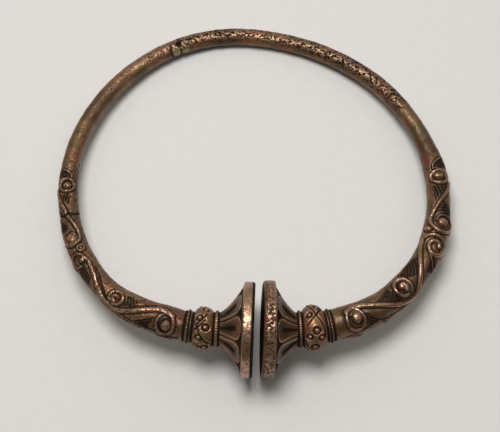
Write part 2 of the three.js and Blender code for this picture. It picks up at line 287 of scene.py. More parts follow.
class Relief:
    """Heights over one arm's unrolled surface: ridges stand on it, cuts sink into it."""

    def __init__(self, at, up):
        self.at, self.up = at, up
        self.raised = np.zeros(at.shape)
        self.sunk = np.zeros(at.shape)
        self.rubbed = np.zeros(at.shape)
        self.shade = np.zeros(at.shape)
        self.cracked = np.zeros(at.shape)

    def ridge(self, line, width, height, ends=(1.0, 1.0), cut=0.3, cut_width=0.5):
        """A bar along a line, its section a flat-topped fourth-power arch, between two cuts."""
        away, share = from_line(self.at, self.up, line)
        half = width / 2 * (ends[0] + (ends[1] - ends[0]) * share)
        arch = height * np.clip(1 - (away / half) ** 4, 0, 1)
        self.raised = np.maximum(self.raised, arch)
        self.rubbed = np.maximum(self.rubbed, 0.85 * smoothstep(0.95, 0.3, away / half))
        beside = bell(away - half - cut_width * 0.45, cut_width * 0.6)
        self.sunk = np.maximum(self.sunk, cut * beside)
        self.shade = np.maximum(self.shade, beside)

    def boss(self, centre, radii, height, cut=0.35, cut_width=0.6):
        """A round or oval dome: the height times the root of one less the squared distance."""
        reach = np.hypot((self.at - centre[0]) / radii[0], (self.up - centre[1]) / radii[1])
        dome = height * np.sqrt(np.clip(1 - reach**2, 0, 1))
        self.raised = np.maximum(self.raised, dome)
        self.rubbed = np.maximum(self.rubbed, 0.85 * smoothstep(0.95, 0.35, reach))
        size = (radii[0] + radii[1]) / 2
        beside = bell((reach - 1) * size - cut_width * 0.5, cut_width * 0.6)
        self.sunk = np.maximum(self.sunk, cut * beside)
        self.shade = np.maximum(self.shade, beside)

    def groove(self, line, width, depth, ends=(1.0, 1.0)):
        """A round-bottomed cut along a line."""
        away, share = from_line(self.at, self.up, line)
        half = width / 2 * (ends[0] + (ends[1] - ends[0]) * share)
        cut = bell(away, half)
        self.sunk = np.maximum(self.sunk, depth * cut)
        self.shade = np.maximum(self.shade, cut)

    def crack(self, line, width, depth):
        """A sharp cut through ridges and ground alike."""
        away, _ = from_line(self.at, self.up, line)
        self.cracked = np.maximum(self.cracked, depth * np.exp(-((away / width * 2) ** 2)))

    def inside(self, corners, soft=0.55):
        """1 inside a convex outline, falling to 0 across its edge."""
        c = np.asarray(corners, float)
        middle = c.mean(axis=0)
        mask = np.ones(self.at.shape)
        for (ax, ay), (bx, by) in zip(c, np.roll(c, -1, axis=0)):
            nx, ny = by - ay, ax - bx
            size = math.hypot(nx, ny)
            if (middle[0] - ax) * nx + (middle[1] - ay) * ny < 0:
                nx, ny = -nx, -ny
            away = ((self.at - ax) * nx + (self.up - ay) * ny) / size
            mask = np.minimum(mask, smoothstep(-soft, soft, away))
        return mask

    def field(self, corners, depth, pitch, slant, line_depth=0.24):
        """A sunk patch hatched by hand: a cosine wave across the slant, in degrees, wavering a little."""
        mask = self.inside(corners)
        angle = math.radians(slant)
        across = self.up * math.cos(angle) - self.at * math.sin(angle)
        waver = 0.7 * np.sin(0.7 * self.at + 0.4 * self.up)
        hatch = 0.5 + 0.5 * np.cos(2 * np.pi * across / pitch + waver)
        self.sunk = np.maximum(self.sunk, mask * (depth + line_depth * hatch))
        self.shade = np.maximum(self.shade, mask * (0.42 + 0.55 * hatch))

    def height(self, ridge_height):
        """Ridges cover whatever is cut beneath them."""
        cover = smoothstep(0.15, 0.6, self.raised / ridge_height)
        self.shade = np.maximum(self.shade * (1 - cover), np.clip(self.cracked / 0.3, 0, 1))
        return self.raised - (1 - cover) * self.sunk - self.cracked


def scroll_right(r, p, h):
    """The crisp scroll of the right arm: five spirals on one running tendril, fields hatched between
    at pitch p, ridges h high."""
    # sunk fields between the scrolls
    r.field([(38.4, -0.4), (41.6, -4.9), (37.6, -6.0)], 0.16, p, -35)
    r.field([(44.0, 1.0), (50.8, 3.4), (52.9, -3.9), (51.2, -4.6)], 0.16, p, 62)
    r.field([(57.6, 4.4), (59.6, 0.6), (63.5, -1.9), (70.0, 2.6), (66.0, 5.4)], 0.14, p * 1.1, 40)
    r.field([(72.6, -2.0), (71.5, -6.6), (67.6, -6.3), (66.4, -3.4)], 0.12, p * 1.2, 80)
    r.field([(91.2, -0.2), (95.8, -1.6), (92.6, -6.0), (90.2, -5.0)], 0.16, p, 100)
    r.field([(102.6, 3.4), (95.6, 1.9), (102.4, -3.2)], 0.16, p * 1.3, 20)
    r.field([(114.4, -3.6), (111.6, 1.4), (109.8, -0.2), (109.6, -5.4)], 0.14, p, 70)
    # plain lobe between the tendril and the outer edge
    r.groove(smooth_line([(38.0, 0.9), (44.0, -1.9), (50.6, -6.0), (53.6, -8.4)]), 0.75, 0.38, (0.8, 0.9))
    r.groove(smooth_line([(28.4, -9.0), (32.6, -8.0), (36.6, -6.8), (41.8, -5.2)]), 0.8, 0.4, (0.7, 1.0))
    r.groove(smooth_line([(41.8, -5.2), (45.6, -7.4), (50.0, -8.6)]), 0.5, 0.2)
    # tendril from the first spiral to the third
    r.ridge(
        smooth_line([(31.6, 1.4), (34.6, 2.6), (38.9, 1.7), (44.8, -1.0), (50.2, -4.4), (54.0, -6.6),
                     (57.2, -7.0), (60.0, -5.3), (62.4, -3.4), (65.4, -1.3), (69.6, 1.2), (73.9, 3.1),
                     (77.4, 4.0)]),
        1.9, h, (1.0, 0.85))
    r.ridge(smooth_line([(44.0, -7.2), (48.5, -8.0), (53.0, -8.4), (57.0, -8.6), (60.5, -7.0)]), 0.8, 0.3)
    # first spiral: closed ring round a big boss
    r.ridge(coil((34.35, -2.1), (3.35, 4.3), 120, 315, 0.88), 1.15, h, (1.1, 0.7))
    r.boss((34.8, -1.5), (1.8, 2.2), 0.9)
    r.ridge(coil((34.6, -1.8), (2.2, 2.9), 150, -160, 0.8, 24), 0.6, 0.5, (0.6, 1.0))
    # second spiral, a turn and a half, its end swelling to a comma
    r.ridge(coil((55.6, -0.7), (3.3, 3.7), -55, 330, 0.84), 1.15, h, (1.3, 1.1))
    r.ridge(coil((55.8, -0.6), (1.45, 1.6), -75, 170, 0.55), 1.7, 0.8, (1.1, 0.9))
    r.boss((55.6, -0.2), (1.15, 1.25), 0.8, 0.2)
    # third spiral
    r.ridge(
        smooth_line([(77.4, 4.0), (79.5, 2.7), (80.7, 0.3), (80.8, -2.5), (79.4, -4.9), (77.2, -5.9),
                     (74.7, -5.0)]),
        1.0, h, (1.1, 1.1))
    r.ridge(
        smooth_line([(77.2, -5.7), (74.7, -4.9), (73.4, -2.0), (74.8, 0.0), (76.9, 0.6), (78.4, -0.6),
                     (78.4, -2.5), (77.0, -3.2)]),
        1.75, h + 0.12, (1.1, 0.8))
    r.ridge(smooth_line([(72.6, -1.4), (70.8, -3.4), (69.2, -5.2)]), 0.55, 0.3)
    r.ridge(smooth_line([(73.2, -3.4), (71.8, -5.0), (70.8, -7.0)]), 0.5, 0.25)
    r.boss((82.9, 3.1), (1.25, 1.45), 0.75)
    # tendril of the fourth spiral, from the fifth
    r.ridge(
        smooth_line([(104.0, -4.6), (101.2, -3.6), (97.0, -0.9), (93.2, 1.2), (89.8, 2.4), (87.0, 2.9),
                     (84.7, 1.8), (83.2, -0.6), (83.3, -3.3), (85.3, -5.9), (88.3, -6.6)]),
        1.4, h, (1.1, 0.85))
    r.ridge(coil((87.4, -2.2), (2.6, 3.2), -70, 165, 0.85), 0.7, 0.45)
    r.boss((86.9, -1.8), (1.75, 2.0), 0.85)
    r.groove(coil((87.2, -1.6), (4.6, 4.6), 62, -50, 1.0, 16), 0.5, 0.22)
    r.groove(coil((87.2, -1.6), (5.7, 5.7), 55, -50, 1.0, 16), 0.5, 0.2)
    # fifth spiral: a ring round an eye
    r.ridge(coil((106.0, -0.5), (2.75, 3.45), -95, 375, 0.95), 1.2, h, (1.1, 1.0))
    r.boss((106.5, -0.3), (1.35, 2.0), 0.7)
    r.groove(coil((106.6, -0.3), (0.75, 1.5), 40, 110, 1.0, 12), 0.35, 0.2)
    r.ridge(smooth_line([(109.9, 1.3), (111.6, 1.0), (113.6, -1.4), (114.2, -4.0)]), 0.6, 0.35)


def scroll_left(r, p, h):
    """The worn scroll of the left arm: the same five spirals, rubbed low and pitted; p and h as on
    the right."""
    r.field([(35.4, -1.0), (42.6, -5.4), (37.4, -7.6)], 0.16, p * 1.2, -30)
    r.field([(48.8, 2.2), (42.6, 2.3), (44.6, -0.8), (47.8, -2.6)], 0.14, p, 58)
    r.groove(smooth_line([(55.2, -3.4), (58.6, -1.4), (62.4, 0.6), (66.4, 1.9)]), 0.9, 0.16)
    r.field([(69.6, -1.0), (68.8, -6.0), (62.6, -6.2), (63.8, -2.6)], 0.14, p, 85)
    r.field([(85.0, -1.2), (90.0, -3.6), (86.0, -6.0), (84.4, -4.2)], 0.14, p, 95)
    r.field([(100.4, 1.4), (94.8, 0.6), (99.6, -3.2)], 0.16, p * 1.2, 24)
    r.field([(110.9, -2.8), (108.4, 1.7), (106.8, -0.2), (107.0, -4.6)], 0.14, p, 66)
    r.groove(smooth_line([(36.2, 0.5), (41.4, -2.0), (45.8, -4.6), (49.5, -6.3)]), 0.7, 0.36)
    r.groove(smooth_line([(26.6, -7.7), (29.8, -8.0), (33.6, -7.0), (38.6, -5.9)]), 0.8, 0.36)
    r.groove(smooth_line([(36.6, 3.3), (41.0, 1.3), (45.6, -1.4)]), 0.5, 0.25)
    r.ridge(
        smooth_line([(29.4, 0.6), (32.4, 1.7), (35.9, 1.7), (40.6, -0.4), (44.8, -2.9), (48.6, -4.9),
                     (52.0, -5.6), (55.4, -5.1), (58.8, -3.5), (61.8, -1.8), (64.6, -0.5), (67.4, 0.2),
                     (70.4, 0.6), (72.8, -0.4)]),
        1.8, h, (1.1, 0.8))
    r.ridge(smooth_line([(40.4, -7.3), (44.0, -7.0), (48.0, -6.6), (52.0, -7.0), (55.6, -7.0)]), 0.8, 0.3)
    r.ridge(coil((31.6, -2.8), (3.2, 4.2), 110, 315, 0.9), 1.15, h, (1.2, 0.7))
    r.boss((31.1, -3.3), (1.75, 2.1), 0.75)
    r.ridge(coil((51.6, -1.3), (2.75, 2.75), -60, 330, 0.9), 1.1, h, (1.2, 1.0))
    r.ridge(coil((51.5, -1.4), (1.35, 1.4), -90, 230, 0.55), 1.2, 0.6, (1.2, 0.8))
    r.ridge(coil((72.0, -3.1), (2.9, 2.9), 70, -250, 0.8), 1.0, h, (1.0, 0.9))
    r.boss((71.4, -1.5), (1.0, 1.0), 0.5)
    r.ridge(coil((76.2, 0.5), (1.2, 1.45), 0, 360, 1.0, 24), 0.8, h * 0.9)
    r.boss((76.2, 0.5), (0.5, 0.6), 0.35, 0.3, 0.4)
    r.ridge(
        smooth_line([(102.4, -4.4), (99.4, -3.8), (96.4, -2.6), (93.6, -1.4), (90.4, -0.6), (86.4, 1.2),
                     (82.8, 1.9), (79.6, 1.2), (78.4, -1.2), (79.0, -3.6), (81.4, -4.7)]),
        1.3, h, (1.1, 0.9))
    r.boss((81.4, -1.7), (1.9, 2.1), 0.3)
    r.ridge(coil((81.4, -1.7), (2.1, 2.3), 20, 290, 1.0), 0.5, 0.35)
    r.ridge(coil((103.7, 0.0), (2.7, 2.85), -100, 375, 0.95), 1.05, h, (1.1, 1.0))
    r.boss((103.5, 0.1), (1.4, 1.6), 0.6)
    r.ridge(smooth_line([(107.2, 1.6), (108.6, 1.4), (110.2, -0.8), (110.8, -3.2)]), 0.6, 0.3)
    # crack across the rod, with a short branch
    r.crack(smooth_line([(92.0, -7.0), (91.6, -3.8), (90.6, -1.6), (91.6, -0.2), (91.0, 2.2), (92.2, 5.4)]),
            0.8, 0.42)
    r.crack(smooth_line([(90.9, -2.6), (93.0, -3.6), (94.4, -5.2)]), 0.7, 0.34)


# ---------------------------------------------------------------- the turned terminal

# Rings with dots on the beads: (length, degrees round, radius). Each is repeated opposite.
DOTS = {
    -1: ((19.4, 98, 1.25), (17.0, 70, 1.35), (19.3, 39, 1.25), (17.2, 6, 1.3), (20.2, 7, 1.1),
         (17.3, 129, 1.2), (19.6, 156, 1.2)),
    1: ((19.8, 62, 1.35), (17.2, 46, 1.1), (21.4, 41, 1.15), (18.9, 15, 1.35), (17.6, 106, 1.15),
        (20.9, 132, 1.2), (17.6, 160, 1.2)),
}
# Curved lines between the dots, as (length, degrees round).
DOT_LINES = {
    -1: (((16.4, 112), (18.4, 92), (20.2, 78), (20.1, 66), (18.2, 40), (15.6, 20)),
         ((20.9, 62), (19.0, 76), (17.2, 92))),
    1: (((17.0, 156), (18.6, 128), (20.2, 105), (21.8, 85), (22.6, 66), (22.5, 46)),
        ((22.6, 126), (20.2, 105), (18.4, 92), (16.5, 78)),
        ((15.7, 32), (16.6, 12), (18.2, -4))),
}


def half_circle(x):
    """Height of a half circle of radius 1 over its diameter."""
    return np.sqrt(np.clip(1 - x * x, 0, 1))


def terminal_profile(arm, sizes):
    """Outline of the terminal as two arrays, length along the arm and radius: face, rounded rim,
    trumpet cone, milled collar, bead and a thin ring between two grooves."""
    edge = arm.disc - FACE_EDGE
    r = np.linspace(0.5, edge, FACE_RINGS)
    dish = 0.18 * bell(r - 0.8 * edge, 0.5) + 0.25 * bell(r, 1.3)
    parts = [(dish, r)]
    turn = np.linspace(0, np.pi / 2, 6)[1:]
    parts.append((FACE_EDGE * (1 - np.cos(turn)), edge + FACE_EDGE * np.sin(turn)))
    at = np.linspace(FACE_EDGE, arm.rim - BACK_EDGE, 13)[1:]
    parts.append((at, arm.disc + 0.06 * half_circle((at - arm.rim / 2) / (arm.rim / 2))))
    turn = np.linspace(0, np.pi / 2, 4)[1:]
    parts.append((arm.rim - BACK_EDGE * (1 - np.sin(turn)), arm.disc - BACK_EDGE * (1 - np.cos(turn))))
    t = np.linspace(0, 1, 40)[1:]
    fillet = (arm.disc - BACK_EDGE - sizes.cone_top) * np.clip(1 - t / 0.1, 0, 1) ** 2
    parts.append((arm.rim + 0.02 + t * (arm.cone - arm.rim - 0.02),
                  sizes.waist + (sizes.cone_top - sizes.waist) * (1 - t) ** arm.flare + 0.8 * fillet))
    t = np.linspace(0, 1, 14)[1:]
    parts.append((arm.cone + t * (arm.collar - arm.cone),
                  sizes.waist - 0.35 + (sizes.collar - sizes.waist + 0.25) * bell(t - 0.5, 0.33, 4)
                  + 0.25 * np.abs(2 * t - 1) ** 6))
    t = np.linspace(-1, 1, 28)[1:]
    swell = np.clip(1 - t * t, 0, 1) ** 0.7
    parts.append((arm.collar + (t + 1) / 2 * (arm.bead - arm.collar),
                  sizes.waist - 0.2 + (arm.bead_radius - sizes.waist + 0.2) * swell))
    t = np.linspace(0, 1, 16)[1:]
    ring = 0.35 * bell(t - 0.3, 0.09) + 0.75 * bell(t - 0.62, 0.15, 4)
    parts.append((arm.bead + t * (arm.rings - arm.bead),
                  sizes.waist - 0.6 + ring + 0.25 * smoothstep(0.85, 1, t)))
    return np.concatenate([p[0] for p in parts]), np.concatenate([p[1] for p in parts])


def carve_petals(arm, sizes, at, radius, angle):
    """Petals round the cone, worked out in mm from each petal's middle line and the share of the
    way from rim to collar. Each is a tongue with a thin raised border and a wedge-shaped slit, its
    end at the rim rounded like a superellipse, which leaves a sunk triangle between two of them."""
    share = np.clip((at - arm.rim) / (arm.cone - arm.rim), 0, 1)
    pitch = 2 * np.pi / sizes.petals
    turned = np.degrees(angle) - arm.petal_turn
    off = (np.radians(turned) + pitch / 2) % pitch - pitch / 2
    side = np.abs(off) * radius
    bend = np.clip((0.40 - share) / 0.33, 0, 1)
    outline = (pitch / 2 * radius - 0.3) * np.clip(1 - bend**2.4, 0, 1) ** (1 / 2.4)
    inside = outline - side
    petal = smoothstep(-0.35, 0.25, inside)
    edge = bell(inside - 0.5, 0.38)
    wedge = smoothstep(0.12, 0.45, share)
    slit_half = 0.25 + 0.6 * smoothstep(1.0, 0.42, share)
    slit = smoothstep(slit_half + 0.25, slit_half - 0.25, side) * smoothstep(0.24, 0.34, share)
    valley = wedge * np.clip(1 - (side / np.maximum(outline, 0.01)) ** 2, 0, 1)
    on = smoothstep(0.02, 0.07, share) * smoothstep(1.0, 0.97, share)
    depth = sizes.petal_depth
    cuts = -1.2 * depth * (1 - petal) + 0.2 * edge * petal - 0.5 * depth * valley - 0.9 * depth * slit
    height = on * cuts
    shade = on * np.maximum.reduce([0.95 * (1 - petal), slit, 0.33 + 0.22 * valley]) * (1 - 0.6 * edge)
    rubbed = 0.9 * on * edge * (1 - slit)
    return height, shade, rubbed


def carve_bead(arm, at, angle):
    """Ring-and-dot marks and curved lines punched into the bead."""
    r = Relief(at, arm.bead_radius * angle)
    full = 2 * np.pi * arm.bead_radius
    for place, degrees, radius in DOTS[arm.side]:
        for opposite in (0, 180):
            middle = arm.bead_radius * math.radians(degrees + opposite)
            around = (r.up - middle + full / 2) % full - full / 2
            reach = np.hypot(at - place, around)
            ring = bell(reach - radius * 0.92, 0.36)
            dot = np.clip(1 - (reach / (radius * 0.62)) ** 2, 0, 1)
            lip = bell(reach - radius - 0.5, 0.3)
            r.raised = np.maximum(r.raised, 0.3 * dot + 0.2 * lip)
            r.rubbed = np.maximum(r.rubbed, np.maximum(dot, 0.8 * lip))
            r.sunk = np.maximum(r.sunk, 0.55 * ring)
            r.shade = np.maximum(r.shade, ring)
    for line in DOT_LINES[arm.side]:
        for opposite in (0, 180, -180, 360, -360):
            points = [(a, arm.bead_radius * math.radians(d + opposite)) for a, d in line]
            if points[0][1] > arm.bead_radius * np.pi + 8 and points[-1][1] > arm.bead_radius * np.pi + 8:
                continue
            away, _ = from_line(at, r.up, smooth_line(points, 6))
            cut = bell(away, 0.36)
            beside = bell(away - 0.55, 0.25)
            r.sunk = np.maximum(r.sunk, 0.32 * cut)
            r.shade = np.maximum(r.shade, cut)
            r.rubbed = np.maximum(r.rubbed, 0.7 * beside)
            r.raised = np.maximum(r.raised, 0.14 * beside)
    on = smoothstep(arm.collar + 0.2, arm.collar + 0.9, at) * smoothstep(arm.bead - 0.2, arm.bead - 0.9, at)
    height = on * np.where(r.sunk > 0.12, -r.sunk, r.raised * (1 - r.sunk / 0.12))
    return height, on * r.shade, on * r.rubbed * (1 - r.shade)


def mill(arm, at, angle):
    """Short cuts across the collar and the outer thin ring, as from a milling wheel."""
    ticks = 0.5 - 0.5 * np.cos(45 * angle)
    middle = (arm.cone + arm.collar) / 2
    collar = bell(at - middle, 0.42, 4)
    ring = bell(at - arm.bead - 0.62 * (arm.rings - arm.bead), 0.5, 4)
    cut = ticks * (0.9 * collar + ring)
    on = collar + ring
    return -0.24 * cut, 0.8 * cut, on * (1 - ticks) * 0.8


def unevenness(walked, angle, sizes):
    """Slow swelling and sinking of a worn casting: a few crossed sine waves that close round the rod."""
    x = walked
    waves = (
        np.sin(0.21 * x + 1.3 * np.sin(angle + 0.4)) + 0.8 * np.sin(0.47 * x + 2 * angle)
        + 0.7 * np.sin(0.83 * x - 3 * angle + 1.0) + 0.5 * np.sin(1.31 * x + 2 * angle + 2.0)
        + 0.45 * np.sin(1.9 * x - 4 * angle + 0.7)
    )
    return sizes.unevenness * waves / 2.2


def pits(walked, around, size, seed, density):
    """Small round hollows: space is split in cells of a size in mm, and a share of the cells, the
    density, holds one hollow each at a random place, half a cell across."""
    cell_x, cell_y = np.floor(walked / size), np.floor(around / size)
    deepest = np.zeros(np.broadcast(walked, around).shape)
    for i in (-1, 0, 1):
        for j in (-1, 0, 1):
            cx, cy = cell_x + i, cell_y + j
            key = cx * 127.1 + cy * 311.7 + seed
            rx = np.modf(np.abs(np.sin(key) * 43758.5453))[0]
            ry = np.modf(np.abs(np.sin(key + 17.3) * 24634.6345))[0]
            there = np.modf(np.abs(np.sin(key + 5.9) * 35412.113))[0]
            reach = np.hypot(walked - (cx + rx) * size,
                             around - (cy + ry) * size) / (size * (0.22 + 0.22 * ry))
            deepest = np.maximum(deepest, np.clip(1 - reach**2, 0, 1) * (there < density))
    return deepest


# ---------------------------------------------------------------- the mesh


class Sweep:
    """Collects rings of corners along the torc and joins each to the last one."""

    def __init__(self):
        self.points, self.quads, self.tris, self.marks = [], [], [], []
        self.count, self.last = 0, None

    def add(self, corners, marks):
        """Adds a block of rings: corners (rings, sides, 3), marks (rings, sides, kinds)."""
        rings, sides = corners.shape[:2]
        index = self.count + np.arange(rings * sides).reshape(rings, sides)
        nxt = np.roll(index, -1, axis=1)
        self.quads.append(np.stack([index[:-1], nxt[:-1], nxt[1:], index[1:]], axis=-1).reshape(-1, 4))
        if self.last is not None:
            self.join(self.last, index[0])
        self.points.append(corners.reshape(-1, 3))
        self.marks.append(marks.reshape(rings * sides, -1))
        self.count += rings * sides
        self.last = index[-1]
        return index

    def join(self, a, b):
        """Joins two rings of which one may have twice the other's sides: every coarse side takes
        two fine sides and its own between them."""
        if len(a) == len(b):
            self.quads.append(np.stack([a, np.roll(a, -1), np.roll(b, -1), b], axis=-1))
            return
        fine, coarse = (a, b) if len(a) > len(b) else (b, a)
        f0, f1, f2 = fine[0::2], fine[1::2], np.roll(fine[0::2], -1)
        c0, c1 = coarse, np.roll(coarse, -1)
        tris = [np.stack([f0, f1, c0], -1), np.stack([f1, c1, c0], -1), np.stack([f1, f2, c1], -1)]
        tris = np.concatenate(tris)
        self.tris.append(tris if fine is a else tris[:, ::-1])

    def cap(self, ring, middle, mark, reverse):
        """Closes an end with a fan round one corner."""
        self.points.append(middle[None])
        self.marks.append(mark[None])
        tip = np.full(len(ring), self.count)
        self.count += 1
        a, b = (ring, np.roll(ring, -1)) if reverse else (np.roll(ring, -1), ring)
        self.tris.append(np.stack([a, b, tip], axis=-1))


SIDES = 180  # sides of a section at the terminals; half in the scrolls, a quarter at the back
MARKS = ("hollow", "rubbed", "pitting", "mend")  # where grime sits or shade is painted, where metal shows or reflection and highlight are painted, where rust bit, where solder lies


def angles(sides):
    """Angles round a section, from minus half a turn; 0 faces out of the hoop, a quarter turn up."""
    return -np.pi + 2 * np.pi * np.arange(sides) / sides


def terminal_block(hoop, arm, sizes):
    """Disc, cone, collar, bead and rings of one arm: the turned profile, its carving added to the
    radius."""
    at, radius = terminal_profile(arm, sizes)
    angle = angles(SIDES)
    a, w = np.meshgrid(at, angle, indexing="ij")
    r = np.repeat(radius[:, None], SIDES, axis=1)
    petal, shade, rubbed = carve_petals(arm, sizes, a, r, w)
    # the face takes no petals and no rubbing and is painted fully dark as painted shade; on the left it
    # reaches three rings round the rim's corner
    face = (np.arange(len(at)) < FACE_RINGS + (3 if arm.side < 0 else 0))[:, None]
    bead, bead_shade, bead_rubbed = carve_bead(arm, a, w)
    ticks, tick_shade, tick_rubbed = mill(arm, a, w)
    height = np.where(face, 0, petal) + bead + ticks
    hollow = np.maximum.reduce([shade, bead_shade, tick_shade])
    rubbed = np.maximum.reduce([rubbed, bead_rubbed, tick_rubbed])
    # turned grooves hold grime, rim corners are rubbed; the disc's face is painted fully dark, a painted
    # shade for the narrow gap between the two discs
    groove = 0.75 * bell(a - arm.rim - 0.12, 0.2) * (radius[:, None] < arm.disc - 0.4)
    step = arm.rings - arm.bead
    for edge, wide in ((arm.cone + 0.25, 0.5), (arm.collar - 0.2, 0.5), (arm.bead + 0.1 * step, 0.5),
                       (arm.bead + 0.45 * step, 0.3), (arm.bead + 0.92 * step, 0.5)):
        groove = np.maximum(groove, bell(a - edge, wide, 4))
    hollow = np.where(face, 1, np.maximum(hollow, groove))
    # the rim's corner at the face is painted dark as well, as painted shade where it turns away into the
    # gap, full on the left disc and a quarter on the right
    corner = smoothstep(FACE_EDGE + 0.25, FACE_EDGE - 0.1, a) * (r > arm.disc - 1.5)
    hollow = np.maximum(hollow, arm.shaded_edge * corner)
    on_rim = smoothstep(arm.disc - 0.5, arm.disc - 0.1, r) * ~face
    rubbed = np.maximum(rubbed * (1 - groove), on_rim * bell(a - arm.rim + 0.25, 0.3)) * ~face
    # corrosion has eaten into the rim, the right one most
    share = 0.55 if arm.side > 0 else 0.22
    eaten = pits(a, w * arm.disc, 1.3, 3.0 + arm.side, share) * on_rim
    height = height - 0.2 * eaten + 0.5 * unevenness(a + 40 * arm.side, w, sizes) * on_rim
    hollow = np.maximum(hollow, 0.7 * eaten)
    # a darker band along the rim a little above its outward-facing middle: painted shade where the rim
    # turns towards the dark room in front
    hollow = np.maximum(hollow, 0.42 * on_rim * smoothstep(1.05, 0.85, w) * smoothstep(0.56, 0.64, w))
    # the whole rim is rubbed bare, and its lower, outward-facing part more strongly: that extra is a
    # painted reflection of the pale floor
    rubbed_and_reflection = 0.7 + 0.25 * smoothstep(0.68, 0.55, w) * smoothstep(-2.6, -2.2, w)
    rubbed = np.maximum(rubbed, on_rim * rubbed_and_reflection * (1 - eaten) * smoothstep(FACE_EDGE, FACE_EDGE + 0.5, a))
    pitting = on_rim * (0.7 if arm.side > 0 else 0.4) + 0.3 * (1 - on_rim)
    corners = hoop.rings(arm, a[:, 0], r + height, w)
    return corners, np.stack([hollow, rubbed, pitting, 0 * hollow], axis=-1)


def rod_radius(arm, at):
    """Radius of the arm's rod, straight between its knots."""
    knots = np.array(arm.rod, float)
    return np.interp(at, knots[:, 0], knots[:, 1])


def scroll_block(hoop, arm, sizes):
    """The scrolled stretch: the rod with relief, pits and unevenness added, its underside a mirror of
    the top."""
    count = int(round((arm.scroll - arm.rings) / SCROLL_STEP))
    at = np.linspace(arm.rings, arm.scroll, count + 1)[1:]
    angle = angles(SIDES // 2)
    a, w = np.meshgrid(at, angle, indexing="ij")
    radius = rod_radius(arm, at)[:, None]
    up = radius * (np.abs(w) - np.pi / 2)
    relief = Relief(a, up)
    (scroll_left if arm.side < 0 else scroll_right)(relief, sizes.hatch_pitch, arm.ridge)
    height = relief.height(arm.ridge)
    start = smoothstep(arm.rings, arm.rings + 1.2, a)
    rows = pits(a, w * radius, 1.3, 9.0 + arm.side, 0.10 + 0.30 * arm.worn)
    height = height - (0.10 + 0.1 * arm.worn) * rows
    hollow = np.maximum(relief.shade, 0.8 * rows)
    hollow = np.maximum(hollow, 0.9 * (1 - smoothstep(arm.rings, arm.rings + 0.6, a)))
    walked = a if arm.side < 0 else hoop.total - a
    height = height * start + unevenness(walked, w, sizes) * (0.6 + 0.8 * arm.worn)
    rubbed = relief.rubbed * (1 - relief.shade) * start
    pitting = np.full(a.shape, 0.3 + 0.5 * arm.worn)
    corners = hoop.rings(arm, at, radius + height, w)
    return corners, np.stack([hollow, rubbed, pitting, 0 * hollow], axis=-1)


def back_block(hoop, arm, sizes):
    """The plain rod from the scrolls to the back, with its pits and, in the left arm, the mend."""
    count = int(round((hoop.length(arm) - arm.scroll) / BACK_STEP))
    at = np.linspace(arm.scroll, hoop.length(arm), count + 1)[1:]
    if arm.side < 0:
        near = np.linspace(*MEND_RINGS)
        at = np.sort(np.concatenate([at[(at < MEND_RINGS[0] - 0.3) | (at > MEND_RINGS[1] + 0.3)], near]))
    angle = angles(SIDES // 4)
    a, w = np.meshgrid(at, angle, indexing="ij")
    radius = rod_radius(arm, a)
    walked = a if arm.side < 0 else hoop.total - a
    height = unevenness(walked, w, sizes)
    hollow, mend, lip = np.zeros(a.shape), np.zeros(a.shape), np.zeros(a.shape)
    top = np.cos(w - np.radians(95))
    if arm.side < 0:
        # old mend: two smears of solder on the inner side of a break, a black pit above them
        for middle, turn, long, wide in MEND_SMEARS:
            blob = np.hypot((a - middle) / long, (np.degrees(w) - turn) / wide)
            mend = np.maximum(mend, smoothstep(1.15, 0.75, blob))
            height = height + 0.28 * half_circle(blob)
        seam = bell(a - MEND_SEAM - 0.3 * np.sin(2 * w), 0.35)
        seam = seam * smoothstep(-0.2, 0.4, np.cos(w - 2.4))
        crack = bell(a - MEND_CRACK + 0.5 * np.sin(3 * w), 0.4)
        crack = crack * smoothstep(0.0, 0.5, np.cos(w - 2.7))
        reach = np.hypot((a - MEND_PIT) / 1.3, (w - 1.70) / 0.42)
        hole = np.exp(-(reach**4))
        hollow = np.maximum.reduce([0.8 * seam, 0.9 * crack, hole])
        lip = bell(reach - 1.35, 0.22)
        height = height - 0.25 * seam - 0.3 * crack - 0.5 * hole
    if arm.side > 0:
        heavy = smoothstep(PITTED[0], PITTED[1], a) * (0.55 + 0.45 * smoothstep(PITTED[3], PITTED[2], a))
    else:
        heavy = 0.12 + 0.2 * np.sin(a * 0.21) ** 2 + 0.55 * smoothstep(165, 195, a)
    heavy = heavy * smoothstep(0.1, 0.9, top)
    eaten = pits(walked, w * radius, 1.5, 21.0, 0.12 + 0.4 * heavy)
    height = height - 0.16 * eaten
    pitting = np.clip(0.32 + 0.68 * heavy, 0, 1)
    # rubbed bare along the top line towards the back of the hoop; the lighter copper this gives is also a
    # painted highlight where the overhead light catches the rod
    from_at = 150 if arm.side < 0 else 130
    rubbed = (0.45 if arm.side < 0 else 0.35) * smoothstep(from_at, from_at + 20, a)
    rubbed = rubbed * smoothstep(0.6, 0.95, top) * (1 - hollow)
    rubbed = np.maximum(rubbed, 0.9 * lip)
    corners = hoop.rings(arm, at, radius + height, w)
    return corners, np.stack([np.maximum(hollow, 0.6 * eaten), rubbed, pitting, mend], axis=-1)


